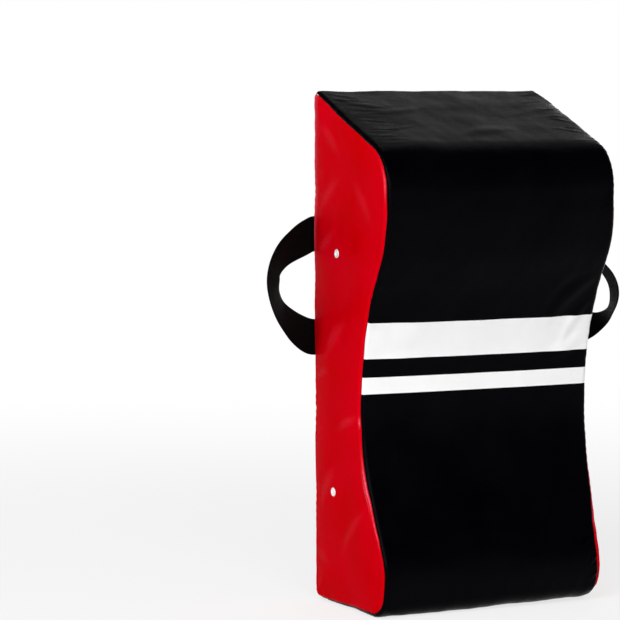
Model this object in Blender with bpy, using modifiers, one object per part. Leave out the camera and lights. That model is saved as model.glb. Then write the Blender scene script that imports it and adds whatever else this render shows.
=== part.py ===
"""Rugby hit shield: a contoured foam block in a sewn cover, with a webbing hand loop on each side.

Metres, Z up.  The shield stands on its flat foot.  The origin is the middle of the foot on the
floor, X runs across the width, the padded face looks along -Y and the flat back along +Y.
"""

import math
from collections import namedtuple

import bmesh
import bpy
from mathutils import Matrix, Vector

# Overall size of the padded block
HEIGHT = 0.599
WIDTH = 0.317
FOOT_WIDTH = 0.3045

# Side outline: depths in front of the back, and heights as shares of the whole height
UPPER_DEPTH = 0.1785
WAIST_DEPTH = 0.114
LOWER_DEPTH = 0.172
FOOT_DEPTH = 0.161
SHOULDER_SHARE = 0.8755
UPPER_FACE_FOOT_SHARE = 0.720
WAIST_TOP_SHARE = 0.522
WAIST_FOOT_SHARE = 0.3065
TOE_SHARE = 0.0865

# Rounding of the outline's corners, as shares of the shorter edge beside each corner
SHOULDER_ROUND_SHARE = 0.44
UPPER_ROUND_SHARE = 0.40
WAIST_TOP_ROUND_SHARE = 0.51
WAIST_FOOT_ROUND_SHARE = 0.39
LOWER_ROUND_SHARE = 0.42
TOE_ROUND_SHARE = 0.31
TOP_EDGE_RADIUS = 0.003
HEEL_RADIUS = 0.012
SMALLEST_RADIUS = 0.001
DEGREES_PER_FACET = 6.0
SMALL_CORNER_FACET_SHARE = 0.25
SMOOTH_ANGLE = math.radians(30.0)

# Padded cross-section: crown of the face, rounded seam edge and swell of the sides
FACE_CROWN = 0.003
FACET_CROWN_SHARE = 0.1
SIDE_CROWN = 0.004
SIDE_RISE = 0.032
EDGE_RADIUS = 0.008
EDGE_TURN = math.radians(75.0)
SEAM_TURN = math.radians(45.0)
FACE_STATION_SHARES = (0.6,)
SIDE_STATION_SHARES = (0.3, 0.62, 1.0)
FOOT_ROUND_SHARE = 1.0
BACK_ROUND_SHARE = 0.5

# Cover sheet and the clearance between neighbouring pieces
SHEET = 0.0012
GAP = 0.0003
SEAM_GAP = 0.0004
OVERRUN = 0.010

# Foam inside the cover
BACK_SLAB = 0.020
FACE_PAD = 0.022
BACKING_SHEET = 0.0010

# Hand loops: webbing sewn across the back, its free loops twisted towards their outermost points
WEBBING_WIDTH = 0.042
WEBBING_THICKNESS = 0.0014
LOOP_HEIGHT = 0.370
LOOP_REACH = 0.0905
LOOP_LEAN = math.radians(33.3)
LEFT_LOOP_TWIST = math.radians(-50.0)
RIGHT_LOOP_TWIST = math.radians(-70.0)
LEFT_LOOP_LIFT = 0.008
RIGHT_LOOP_LIFT = -0.020
TWIST_EASE = 0.8
LOOP_STEPS = 28
LOOP_ROOT_SHARE = 0.25
PATCH_WIDTH = 0.062
PATCH_MARGIN = 0.014
PATCH_SPACING = 0.052
PATCH_SETBACK = 0.010
PATCH_BEVEL = 0.0006
BACKING_WIDTH = 0.070
BACKING_MARGIN = 0.016

# Cover opening low on the back: a flap closed by hook and loop tape
OPENING_HEIGHT = 0.078
FLAP_HINGE_HEIGHT = 0.100
FLAP_LENGTH = 0.062
FLAP_WIDTH = 0.236
FLAP_STRIP_HEIGHT = 0.016
FLAP_CORNER_RADIUS = 0.012
FLAP_CORNER_FACETS = 5
FLAP_ROOT_SHARE = 0.25
TAPE_WIDTH = 0.216
TAPE_HEIGHT = 0.025
TAPE_THICKNESS = 0.0010
TAPE_DROP = 0.031

# Vent eyelets in the side panels: depth in front of the back, and height
UPPER_EYELET_DEPTH = 0.065
UPPER_EYELET_HEIGHT = 0.411
LOWER_EYELET_DEPTH = 0.053
LOWER_EYELET_HEIGHT = 0.133
EYELET_FLANGE_RADIUS = 0.0052
EYELET_FLANGE_RISE = 0.0008
EYELET_BARREL_RADIUS = 0.0029
EYELET_BORE_RADIUS = 0.0022
EYELET_CURL_RADIUS = 0.0037
EYELET_CURL_LENGTH = 0.0006
WASHER_RADIUS = 0.0048
WASHER_THICKNESS = 0.0004
POCKET_MARGIN = 0.0012
EYELET_FACETS = 18
MERGE_DISTANCE = 0.00001

BACK_Y = FOOT_DEPTH / 2
SIDE_LEAN = math.atan((WIDTH - FOOT_WIDTH) / 2 / HEIGHT)
SEAM_ANGLE_GAP = SEAM_GAP / 2 / EDGE_RADIUS
FOAM_INSET = SHEET + GAP
RUN_SPACING = WEBBING_WIDTH + 2 * PATCH_MARGIN + PATCH_SPACING
UPPER_RUN_HEIGHT = LOOP_HEIGHT + RUN_SPACING / 2
LOWER_RUN_HEIGHT = LOOP_HEIGHT - RUN_SPACING / 2
SLAB_RECESS = BACKING_SHEET + GAP

# Colours, with roughness and metallic value
BLACK_VINYL = ((0.012, 0.012, 0.014), 0.30, 0.0)
RED_VINYL = ((0.60, 0.002, 0.005), 0.35, 0.0)
BLACK_WEBBING = ((0.010, 0.010, 0.011), 0.80, 0.0)
BLACK_TAPE = ((0.014, 0.014, 0.015), 0.95, 0.0)
NICKEL = ((0.78, 0.76, 0.72), 0.22, 1.0)
WHITE_FOAM = ((0.80, 0.79, 0.75), 0.90, 0.0)
GREY_FOAM = ((0.28, 0.29, 0.31), 0.85, 0.0)

FACE_EDGES = 6
Station = namedtuple("Station", "x crown rounding side")


def clear_scene():
    for item in list(bpy.data.objects):
        bpy.data.objects.remove(item)


def new_collection(name):
    collection = bpy.data.collections.new(name)
    bpy.context.scene.collection.children.link(collection)
    return collection


def add_material(item, finish):
    colour, roughness, metallic = finish
    material = bpy.data.materials.new(item.name)
    material.use_nodes = True
    shader = material.node_tree.nodes["Principled BSDF"]
    shader.inputs["Base Color"].default_value = (*colour, 1.0)
    shader.inputs["Roughness"].default_value = roughness
    shader.inputs["Metallic"].default_value = metallic
    item.data.materials.append(material)


def take_in(item, name, collection, finish=None):
    """Name an object and its data, and move it to one collection"""
    item.name = name
    item.data.name = name
    for holder in list(item.users_collection):
        holder.objects.unlink(item)
    collection.objects.link(item)
    if finish:
        add_material(item, finish)
    return item


def mesh_object(name, mesh, collection, finish=None):
    item = bpy.data.objects.new(name, mesh)
    collection.objects.link(item)
    if finish:
        add_material(item, finish)
    return item


def smooth(item):
    item.data.shade_smooth()
    item.data.set_sharp_from_angle(angle=SMOOTH_ANGLE)


def as_cutter(item):
    item.hide_render = True
    item.display_type = "WIRE"
    return item


def subtract(item, cutter):
    modifier = item.modifiers.new("Cut " + cutter.name, "BOOLEAN")
    modifier.operation = "DIFFERENCE"
    modifier.solver = "EXACT"
    modifier.object = cutter


def box(name, low, high, collection, finish=None):
    """Cuboid between two corners, its scale applied"""
    bpy.ops.mesh.primitive_cube_add(size=1.0)
    item = bpy.context.object
    item.data.transform(Matrix.Diagonal((*(Vector(high) - Vector(low)), 1.0)))
    item.location = (Vector(low) + Vector(high)) / 2
    return take_in(item, name, collection, finish)


# Side outline of the block in depth (x) and height (y)

def outline_corners():
    return [
        Vector((0.0, HEIGHT)),
        Vector((UPPER_DEPTH, SHOULDER_SHARE * HEIGHT)),
        Vector((UPPER_DEPTH, UPPER_FACE_FOOT_SHARE * HEIGHT)),
        Vector((WAIST_DEPTH, WAIST_TOP_SHARE * HEIGHT)),
        Vector((WAIST_DEPTH, WAIST_FOOT_SHARE * HEIGHT)),
        Vector((LOWER_DEPTH, TOE_SHARE * HEIGHT)),
        Vector((FOOT_DEPTH, 0.0)),
        Vector((0.0, 0.0)),
    ]


def turn_at(before, corner, after):
    arriving = corner - before
    leaving = after - corner
    return math.atan2(arriving.cross(leaving), arriving.dot(leaving))


def neighbours(points, index):
    return points[index - 1], points[index], points[(index + 1) % len(points)]


def corner_radii():
    """Radius at each corner, from its share of the shorter edge beside it"""
    round_shares = (None, SHOULDER_ROUND_SHARE, UPPER_ROUND_SHARE, WAIST_TOP_ROUND_SHARE,
                    WAIST_FOOT_ROUND_SHARE, LOWER_ROUND_SHARE, TOE_ROUND_SHARE, None)
    corners = outline_corners()
    radii = []
    for index, share in enumerate(round_shares):
        before, corner, after = neighbours(corners, index)
        if share is None:
            radii.append(TOP_EDGE_RADIUS if index == 0 else HEEL_RADIUS)
            continue
        shorter = min((corner - before).length, (after - corner).length)
        turn = abs(turn_at(before, corner, after))
        radii.append(share * shorter / math.tan(turn / 2))
    return radii


def moved_corners(insets):
    """Corners of the outline after each edge has moved in by its own inset"""
    corners = outline_corners()
    lines = []
    for index, inset in enumerate(insets):
        start = corners[index]
        along = (corners[(index + 1) % len(corners)] - start).normalized()
        inward = Vector((along.y, -along.x))
        lines.append((start + inward * inset, along))
    moved = []
    for index, (point, along) in enumerate(lines):
        earlier, direction = lines[index - 1]
        reach = (point - earlier).cross(along) / direction.cross(along)
        moved.append(earlier + direction * reach)
    return moved


def rounded_corners(insets):
    """A list of arc points for each corner of the moved outline"""
    base = outline_corners()
    moved = moved_corners(insets)
    arcs = []
    for index, base_radius in enumerate(corner_radii()):
        turn = turn_at(*neighbours(base, index))
        inset = (insets[index - 1] + insets[index]) / 2
        outward = -math.copysign(1.0, turn)
        radius = max(base_radius - outward * inset, SMALLEST_RADIUS)
        before, corner, after = neighbours(moved, index)
        arriving = (corner - before).normalized()
        start = corner - arriving * radius * math.tan(abs(turn) / 2)
        centre = start - Vector((-arriving.y, arriving.x)) * outward * radius
        steps = math.ceil(abs(math.degrees(turn)) / DEGREES_PER_FACET)
        if base_radius <= max(TOP_EDGE_RADIUS, HEEL_RADIUS):
            steps = math.ceil(steps * SMALL_CORNER_FACET_SHARE)
        spoke = start - centre
        arc = []
        for step in range(steps + 1):
            rotated = spoke.copy()
            rotated.rotate(Matrix.Rotation(turn * step / steps, 2))
            arc.append(centre + rotated)
        arcs.append(arc)
    return arcs


# Padded cross-section: what each station across the width takes off the outline

def width_stations(inset, last_turn=None, first_turn=None):
    """Stations from the middle to one side, within the turns of the seam edge that are given"""
    radius = EDGE_RADIUS - inset
    centre = WIDTH / 2 - SIDE_CROWN - EDGE_RADIUS * math.sin(EDGE_TURN)
    first = 0.0 if first_turn is None else first_turn
    last = EDGE_TURN if last_turn is None else last_turn
    stations = []
    if first_turn is None:
        for share in FACE_STATION_SHARES:
            stations.append(Station(centre * share, FACE_CROWN * share ** 3, 0.0, 0.0))
    for turn in (first, (first + last) / 2, last):
        rounding = radius * (1 - math.cos(turn))
        stations.append(Station(centre + radius * math.sin(turn), FACE_CROWN, rounding, 0.0))
    return stations


def side_stations(inset):
    """Stations of the swelling side, inward from the seam edge"""
    rounding = (EDGE_RADIUS - inset) * (1 - math.cos(EDGE_TURN))
    stations = []
    for share in SIDE_STATION_SHARES:
        swell = SIDE_CROWN * (1 - (1 - share) ** 2)
        x = WIDTH / 2 - SIDE_CROWN + swell - inset
        stations.append(Station(x, FACE_CROWN, rounding, SIDE_RISE * share))
    return stations


def both_sides(stations):
    mirrored = [station._replace(x=-station.x) for station in reversed(stations)]
    return mirrored + stations


def edge_insets(station, inset, face=0.0, back=0.0):
    """Inset of each outline edge at a station: the top facet, the face edges, the foot and the back"""
    beside = inset + station.side
    edge_inset = beside + face + station.rounding
    facet_inset = edge_inset + FACET_CROWN_SHARE * station.crown
    face_inset = edge_inset + station.crown
    foot_inset = beside + FOOT_ROUND_SHARE * station.rounding
    back_inset = beside + BACK_ROUND_SHARE * station.rounding + back
    return [facet_inset] + [face_inset] * (FACE_EDGES - 1) + [foot_inset, back_inset]


def placed(x, point):
    """World point of a station and an outline point; the block narrows towards its foot"""
    narrowing = (FOOT_WIDTH + (WIDTH - FOOT_WIDTH) * point.y / HEIGHT) / WIDTH
    return Vector((x * narrowing, BACK_Y - point.x, point.y))


def chain(arcs):
    return [point for arc in arcs for point in arc]


def height_on_facet(insets, depth):
    """Height of the sloping top facet at a depth"""
    moved = moved_corners(insets)
    share = (depth - moved[0].x) / (moved[1].x - moved[0].x)
    return moved[0].y + share * (moved[1].y - moved[0].y)


def finished_shape(name, shape, collection, finish):
    bmesh.ops.recalc_face_normals(shape, faces=shape.faces)
    mesh = bpy.data.meshes.new(name)
    shape.to_mesh(mesh)
    shape.free()
    item = mesh_object(name, mesh, collection, finish)
    smooth(item)
    return item


def loft(name, rings, collection, finish):
    """Closed solid through rings of points, its first and last ring capped"""
    shape = bmesh.new()
    rows = [[shape.verts.new(point) for point in ring] for ring in rings]
    count = len(rows[0])
    for row, following in zip(rows, rows[1:]):
        for index in range(count):
            other = (index + 1) % count
            shape.faces.new((row[index], row[other], following[other], following[index]))
    shape.faces.new(reversed(rows[0]))
    shape.faces.new(rows[-1])
    return finished_shape(name, shape, collection, finish)


def lofted_sheet(name, outer_rows, inner_rows, collection, finish):
    """Closed sheet between an outer and an inner grid of points, walled all round its rim"""
    shape = bmesh.new()
    skins = []
    for rows in (outer_rows, inner_rows):
        skins.append([[shape.verts.new(point) for point in row] for row in rows])
    last_row = len(outer_rows) - 1
    last_column = len(outer_rows[0]) - 1
    for grid in skins:
        for row, following in zip(grid, grid[1:]):
            for index in range(last_column):
                shape.faces.new((row[index], row[index + 1], following[index + 1], following[index]))
    rim = [(0, column) for column in range(last_column)]
    rim += [(row, last_column) for row in range(last_row)]
    rim += [(last_row, column) for column in range(last_column, 0, -1)]
    rim += [(row, 0) for row in range(last_row, 0, -1)]
    outer, inner = skins
    for (row, column), (next_row, next_column) in zip(rim, rim[1:] + rim[:1]):
        shape.faces.new((outer[row][column], outer[next_row][next_column],
                         inner[next_row][next_column], inner[row][column]))
    return finished_shape(name, shape, collection, finish)


# Cover

def wrapped_sheet(name, path, collection, finish):
    """Sheet that spans the width between the two seams and follows a path in depth and height"""
    turn = SEAM_TURN - SEAM_ANGLE_GAP
    grids = []
    for inset in (0.0, SHEET):
        rows = []
        for station in both_sides(width_stations(inset, last_turn=turn)):
            rows.append([placed(station.x, point) for point in path(station, inset)])
        grids.append(rows)
    return lofted_sheet(name, *grids, collection, finish)


def front_path(station, inset):
    """From the back's top edge over the face and under the foot to the heel"""
    return chain(rounded_corners(edge_insets(station, inset)))


def back_limits():
    """Heights between which the back panels clear both ends of the front panel"""
    feet, tops = [], []
    for inset in (0.0, SHEET):
        for station in width_stations(inset, last_turn=SEAM_TURN):
            arcs = rounded_corners(edge_insets(station, inset))
            feet.append(arcs[-1][-1].y)
            tops.append(arcs[0][0].y)
    return max(feet) + GAP, min(tops) - GAP


def back_path(low, high):
    def path(station, inset):
        depth = edge_insets(station, inset)[-1]
        return [Vector((depth, low)), Vector((depth, high))]
    return path


def front_panel(collection):
    return wrapped_sheet("front_panel", front_path, collection, BLACK_VINYL)


def back_panels(collection):
    low, high = back_limits()
    wrapped_sheet("back_panel", back_path(OPENING_HEIGHT + GAP, high), collection, BLACK_VINYL)
    wrapped_sheet("back_foot_panel", back_path(low, OPENING_HEIGHT), collection, BLACK_VINYL)


def side_panel(name, side, collection):
    """Sheet from the seam over the swelling side, capped where the side is flat"""
    turn = SEAM_TURN + SEAM_ANGLE_GAP
    skins = []
    for inset in (0.0, SHEET):
        stations = width_stations(inset, first_turn=turn) + side_stations(inset)
        rings = []
        for station in stations:
            points = chain(rounded_corners(edge_insets(station, inset)))
            rings.append([placed(side * station.x, point) for point in points])
        skins.append(rings)
    outside, inside = skins
    return loft(name, outside[::-1] + inside, collection, RED_VINYL)


# Foam

def foam_core(collection):
    """Main block, inside the face pad and in front of the back slab, swelling into both sides"""
    face = FACE_PAD + GAP
    back = SLAB_RECESS + BACK_SLAB + GAP
    rings = []
    for station in both_sides(width_stations(FOAM_INSET) + side_stations(FOAM_INSET)):
        beside_layers = edge_insets(station._replace(side=0.0), FOAM_INSET, face, back)
        under_side = edge_insets(station, FOAM_INSET)
        insets = [max(pair) for pair in zip(beside_layers, under_side)]
        points = chain(rounded_corners(insets))
        rings.append([placed(station.x, point) for point in points])
    return loft("foam_core", rings, collection, WHITE_FOAM)


def foam_face_pad(collection):
    """Softer layer that follows the face, from the top facet down to the foot"""
    rings = []
    for station in both_sides(width_stations(FOAM_INSET)):
        outer = edge_insets(station, FOAM_INSET)
        inner = edge_insets(station, FOAM_INSET, FACE_PAD)
        back_depth = outer[-1] + SLAB_RECESS + BACK_SLAB + GAP
        foot = outer[FACE_EDGES]
        outer_arcs = rounded_corners(outer)
        inner_arcs = rounded_corners(inner)
        inner_toe = moved_corners(inner)[FACE_EDGES]
        points = [Vector((back_depth, height_on_facet(outer, back_depth)))]
        points += chain(outer_arcs[1:FACE_EDGES + 1])
        points += [Vector((inner_toe.x, foot))]
        points += chain(inner_arcs[1:FACE_EDGES])[::-1]
        points += [Vector((back_depth, height_on_facet(inner, back_depth)))]
        rings.append([placed(station.x, point) for point in points])
    return loft("foam_face_pad", rings, collection, GREY_FOAM)


def foam_back_slab(collection):
    """Firm board behind the hand loops, under the whole back"""
    rings = []
    for station in both_sides(width_stations(FOAM_INSET)):
        insets = edge_insets(station, FOAM_INSET, back=SLAB_RECESS)
        arcs = rounded_corners(insets)
        front_depth = insets[-1] + BACK_SLAB
        points = arcs[-1] + arcs[0]
        points += [Vector((front_depth, height_on_facet(insets, front_depth)))]
        points += [Vector((front_depth, insets[FACE_EDGES]))]
        rings.append([placed(station.x, point) for point in points])
    return loft("foam_back_slab", rings, collection, GREY_FOAM)


# Vent eyelets

def eyelet_places():
    return (("upper", UPPER_EYELET_DEPTH, UPPER_EYELET_HEIGHT),
            ("lower", LOWER_EYELET_DEPTH, LOWER_EYELET_HEIGHT))


def turned(name, profile, collection, finish=None):
    """Solid turned about its own Z from a closed profile of radius and height"""
    mesh = bpy.data.meshes.new(name)
    points = [(radius, 0.0, height) for radius, height in profile]
    edges = [(index, (index + 1) % len(points)) for index in range(len(points))]
    mesh.from_pydata(points, edges, [])
    item = mesh_object(name, mesh, collection, finish)
    screw = item.modifiers.new("Turn", "SCREW")
    screw.steps = EYELET_FACETS
    screw.render_steps = EYELET_FACETS
    screw.use_merge_vertices = True
    screw.merge_threshold = MERGE_DISTANCE
    return item


def set_on_side(item, side, depth, height):
    """Stand an object on the side panel's flat, its own Z pointing out"""
    centre = placed(side * WIDTH / 2, Vector((depth, height)))
    item.rotation_euler = (0.0, side * (math.pi / 2 + SIDE_LEAN), 0.0)
    item.location = centre


def eyelet_profile():
    washer_foot = -SHEET - 2 * GAP - WASHER_THICKNESS
    curl_top = washer_foot
    curl_foot = curl_top - EYELET_CURL_LENGTH
    flange_top = GAP + EYELET_FLANGE_RISE
    lip = EYELET_FLANGE_RISE / 2
    return [
        (EYELET_BORE_RADIUS + lip, flange_top),
        (EYELET_FLANGE_RADIUS - lip, flange_top),
        (EYELET_FLANGE_RADIUS, GAP),
        (EYELET_BARREL_RADIUS, GAP),
        (EYELET_BARREL_RADIUS, curl_top),
        (EYELET_CURL_RADIUS, curl_top),
        (EYELET_BARREL_RADIUS, curl_foot),
        (EYELET_BORE_RADIUS, curl_foot),
        (EYELET_BORE_RADIUS, flange_top - lip),
    ]


def washer_profile():
    top = -SHEET - GAP
    foot = top - WASHER_THICKNESS
    bore = EYELET_BARREL_RADIUS + GAP
    return [(WASHER_RADIUS, top), (WASHER_RADIUS, foot), (bore, foot), (bore, top)]


def plug(name, radius, foot, top, cutters):
    """Round cutter about its own Z"""
    bpy.ops.mesh.primitive_cylinder_add(vertices=EYELET_FACETS, radius=radius, depth=top - foot)
    item = bpy.context.object
    item.data.transform(Matrix.Translation((0.0, 0.0, (top + foot) / 2)))
    return as_cutter(take_in(item, name, cutters))


def eyelets(parts, cutters, panels, core):
    hole_radius = EYELET_BARREL_RADIUS + GAP
    pocket_radius = WASHER_RADIUS + POCKET_MARGIN
    pocket_foot = -SHEET - 2 * GAP - WASHER_THICKNESS - EYELET_CURL_LENGTH - POCKET_MARGIN
    for side_name, side in (("left", -1), ("right", 1)):
        for level, depth, height in eyelet_places():
            label = level + "_" + side_name
            eyelet = turned("eyelet_" + label, eyelet_profile(), parts, NICKEL)
            washer = turned("eyelet_washer_" + label, washer_profile(), parts, NICKEL)
            hole = plug("hole_" + label, hole_radius, -OVERRUN, OVERRUN, cutters)
            pocket = plug("pocket_" + label, pocket_radius, pocket_foot, OVERRUN, cutters)
            for item in (eyelet, washer, hole, pocket):
                set_on_side(item, side, depth, height)
            subtract(panels[side_name], hole)
            subtract(core, pocket)


# Hand loops

def hinge_x():
    """Distance of a loop's swing axis from the middle"""
    return WIDTH / 2 - SIDE_CROWN


def webbing_y():
    """Middle of the webbing that is sewn on the back"""
    return BACK_Y + GAP + WEBBING_THICKNESS / 2


def loop_root():
    """How far the free loop reaches back past its swing axis"""
    return WEBBING_THICKNESS * LOOP_ROOT_SHARE


def run_end():
    """Clearance from the swing axis to the sewn webbing, so that the loop's end can turn"""
    return math.hypot(loop_root(), WEBBING_THICKNESS / 2) + GAP


def strap_run(name, height, collection):
    """Webbing sewn straight across the back, from one loop to the other"""
    half_length = hinge_x() - run_end()
    half_width = WEBBING_WIDTH / 2
    half_thickness = WEBBING_THICKNESS / 2
    low = (-half_length, webbing_y() - half_thickness, height - half_width)
    high = (half_length, webbing_y() + half_thickness, height + half_width)
    return box(name, low, high, collection, BLACK_WEBBING)


def loop_point(turn, lift):
    """Middle of the free loop, outward from the axis and in height; turn runs from top to foot"""
    bulge = math.cos(turn)
    reach = (LOOP_REACH + loop_root()) * bulge - loop_root()
    return Vector((reach, LOOP_HEIGHT + RUN_SPACING / 2 * math.sin(turn) + lift * bulge ** 2))


def strap_loop(name, side, lift, full_twist, collection):
    """Free loop: leaves the back flat, turns on edge at its outermost point and comes back"""
    step_turn = math.pi / LOOP_STEPS
    half_width = WEBBING_WIDTH / 2
    outward = Vector((side * math.cos(LOOP_LEAN), -math.sin(LOOP_LEAN), 0.0))
    across = Vector((side * math.sin(LOOP_LEAN), math.cos(LOOP_LEAN), 0.0))
    upward = Vector((0.0, 0.0, 1.0))
    shape = bmesh.new()
    edges = []
    for index in range(LOOP_STEPS + 1):
        turn = math.pi / 2 - index * step_turn
        point = loop_point(turn, lift)
        ahead = loop_point(turn - step_turn / 2, lift) - loop_point(turn + step_turn / 2, lift)
        ahead.normalize()
        if index in (0, LOOP_STEPS):
            ahead = Vector((1.0 if index == 0 else -1.0, 0.0))
        in_plane = outward * -ahead.y + upward * ahead.x
        twist = full_twist * max(math.cos(turn), 0.0) ** TWIST_EASE
        width_way = in_plane * math.cos(twist) + across * math.sin(twist)
        middle = outward * point.x + upward * point.y
        pair = [shape.verts.new(middle + width_way * half_width * end) for end in (-1, 1)]
        edges.append(pair)
    for pair, following in zip(edges, edges[1:]):
        shape.faces.new((pair[0], pair[1], following[1], following[0]))
    item = finished_shape(name, shape, collection, BLACK_WEBBING)
    solid = item.modifiers.new("Webbing", "SOLIDIFY")
    solid.thickness = WEBBING_THICKNESS
    solid.offset = 0.0
    item.location = (side * hinge_x(), webbing_y(), 0.0)
    return item


def strap_patch(name, side, height, collection):
    """Sheet patch sewn over the webbing's end; the webbing runs through the channel under it"""
    foot = BACK_Y + GAP
    channel = foot + WEBBING_THICKNESS + GAP
    top = channel + SHEET
    half_height = WEBBING_WIDTH / 2 + PATCH_MARGIN
    half_channel = WEBBING_WIDTH / 2 + GAP
    half_profile = [(channel, half_channel), (foot, half_channel), (foot, half_height),
                    (top - PATCH_BEVEL, half_height), (top, half_height - PATCH_BEVEL)]
    profile = half_profile + [(y, -z) for y, z in reversed(half_profile)]
    outer = hinge_x() - PATCH_SETBACK
    rings = []
    for x in (outer, outer - PATCH_WIDTH):
        rings.append([Vector((side * x, y, height + z)) for y, z in profile])
    return loft(name, rings, collection, BLACK_VINYL)


def backing_patch(name, side, collection):
    """Sheet inside the back panel that takes the stitches of both runs"""
    outer = hinge_x() - PATCH_SETBACK
    xs = sorted((side * outer, side * (outer - BACKING_WIDTH)))
    reach = WEBBING_WIDTH / 2 + BACKING_MARGIN
    outside = BACK_Y - SHEET - GAP
    low = (xs[0], outside - BACKING_SHEET, LOWER_RUN_HEIGHT - reach)
    high = (xs[1], outside, UPPER_RUN_HEIGHT + reach)
    return box(name, low, high, collection, BLACK_VINYL)


def hand_loops(parts):
    strap_run("strap_run_upper", UPPER_RUN_HEIGHT, parts)
    strap_run("strap_run_lower", LOWER_RUN_HEIGHT, parts)
    sides = (
        ("left", -1, LEFT_LOOP_LIFT, LEFT_LOOP_TWIST),
        ("right", 1, RIGHT_LOOP_LIFT, RIGHT_LOOP_TWIST),
    )
    for side_name, side, lift, twist in sides:
        strap_loop("strap_loop_" + side_name, side, lift, twist, parts)
        strap_patch("strap_patch_upper_" + side_name, side, UPPER_RUN_HEIGHT, parts)
        strap_patch("strap_patch_lower_" + side_name, side, LOWER_RUN_HEIGHT, parts)
        backing_patch("backing_patch_" + side_name, side, parts)


# Flap over the cover's opening

def tape_foot():
    return FLAP_HINGE_HEIGHT - TAPE_DROP - TAPE_HEIGHT


def flap_inner_y():
    """Inner face of the flap, outside both tapes"""
    return BACK_Y + 3 * GAP + 2 * TAPE_THICKNESS


def flap_root():
    """How far the flap reaches up past its swing axis"""
    return SHEET * FLAP_ROOT_SHARE


def closure_tapes(collection):
    for name, layer in (("loop_tape", 0), ("hook_tape", 1)):
        inner = BACK_Y + GAP + layer * (TAPE_THICKNESS + GAP)
        low = (-TAPE_WIDTH / 2, inner, tape_foot())
        high = (TAPE_WIDTH / 2, inner + TAPE_THICKNESS, tape_foot() + TAPE_HEIGHT)
        box(name, low, high, collection, BLACK_TAPE)


def flap_seam_strip(collection):
    """Folded hem that holds the flap, sewn on the back above it, low enough for the flap to fold up"""
    foot = FLAP_HINGE_HEIGHT + math.hypot(flap_root(), SHEET / 2) + GAP
    low = (-FLAP_WIDTH / 2, BACK_Y + GAP, foot)
    high = (FLAP_WIDTH / 2, flap_inner_y() - GAP, foot + FLAP_STRIP_HEIGHT)
    return box("flap_seam_strip", low, high, collection, BLACK_VINYL)


def closure_flap(collection):
    """Sheet flap with rounded lower corners; its origin is on its swing axis"""
    half_width = FLAP_WIDTH / 2
    outline = [(-half_width, flap_root()), (-half_width, -FLAP_LENGTH)]
    outline += [(half_width, -FLAP_LENGTH), (half_width, flap_root())]
    mesh = bpy.data.meshes.new("closure_flap")
    mesh.from_pydata([(x, 0.0, z) for x, z in outline], [], [(0, 1, 2, 3)])
    flap = mesh_object("closure_flap", mesh, collection, BLACK_VINYL)
    group = flap.vertex_groups.new(name="lower corners")
    group.add([1, 2], 1.0, "REPLACE")
    corner = flap.modifiers.new("Corners", "BEVEL")
    corner.affect = "VERTICES"
    corner.limit_method = "VGROUP"
    corner.vertex_group = group.name
    corner.width = FLAP_CORNER_RADIUS
    corner.segments = FLAP_CORNER_FACETS
    solid = flap.modifiers.new("Sheet", "SOLIDIFY")
    solid.thickness = SHEET
    solid.offset = 0.0
    flap.location = (0.0, flap_inner_y() + SHEET / 2, FLAP_HINGE_HEIGHT)
    return flap


def build():
    clear_scene()
    parts = new_collection("rugby_hit_shield")
    cutters = new_collection("cutters")
    front_panel(parts)
    back_panels(parts)
    panels = {
        "left": side_panel("side_panel_left", -1, parts),
        "right": side_panel("side_panel_right", 1, parts),
    }
    core = foam_core(parts)
    foam_face_pad(parts)
    foam_back_slab(parts)
    eyelets(parts, cutters, panels, core)
    hand_loops(parts)
    closure_tapes(parts)
    flap_seam_strip(parts)
    closure_flap(parts)


build()
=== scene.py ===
import math
import random

import bmesh
import bpy
import numpy as np
from mathutils import Matrix, Vector
from mathutils.geometry import delaunay_2d_cdt

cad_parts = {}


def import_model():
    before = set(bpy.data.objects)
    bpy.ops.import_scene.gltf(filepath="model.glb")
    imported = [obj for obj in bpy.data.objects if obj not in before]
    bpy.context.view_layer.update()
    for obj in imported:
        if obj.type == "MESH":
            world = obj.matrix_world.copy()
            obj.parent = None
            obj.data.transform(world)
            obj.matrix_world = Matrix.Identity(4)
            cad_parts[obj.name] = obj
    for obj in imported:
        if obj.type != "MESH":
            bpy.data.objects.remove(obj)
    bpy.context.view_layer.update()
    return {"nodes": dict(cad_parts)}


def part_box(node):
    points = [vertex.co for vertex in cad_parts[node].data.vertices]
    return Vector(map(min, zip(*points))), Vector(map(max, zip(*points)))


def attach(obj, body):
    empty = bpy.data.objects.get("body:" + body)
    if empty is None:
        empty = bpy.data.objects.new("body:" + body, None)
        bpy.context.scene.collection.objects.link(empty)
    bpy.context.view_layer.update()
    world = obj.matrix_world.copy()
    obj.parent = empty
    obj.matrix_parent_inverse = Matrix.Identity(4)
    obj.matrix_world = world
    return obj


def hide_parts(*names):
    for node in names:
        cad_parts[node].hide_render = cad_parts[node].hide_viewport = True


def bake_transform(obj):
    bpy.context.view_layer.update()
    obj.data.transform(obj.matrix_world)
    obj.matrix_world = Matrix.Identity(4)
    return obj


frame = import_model()
NODES = frame["nodes"]

# Sizes of the CAD source, in metres
HEIGHT, WIDTH, FOOT_WIDTH = 0.599, 0.317, 0.3045
UPPER_DEPTH, WAIST_DEPTH, LOWER_DEPTH, FOOT_DEPTH = 0.1785, 0.114, 0.172, 0.161
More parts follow.
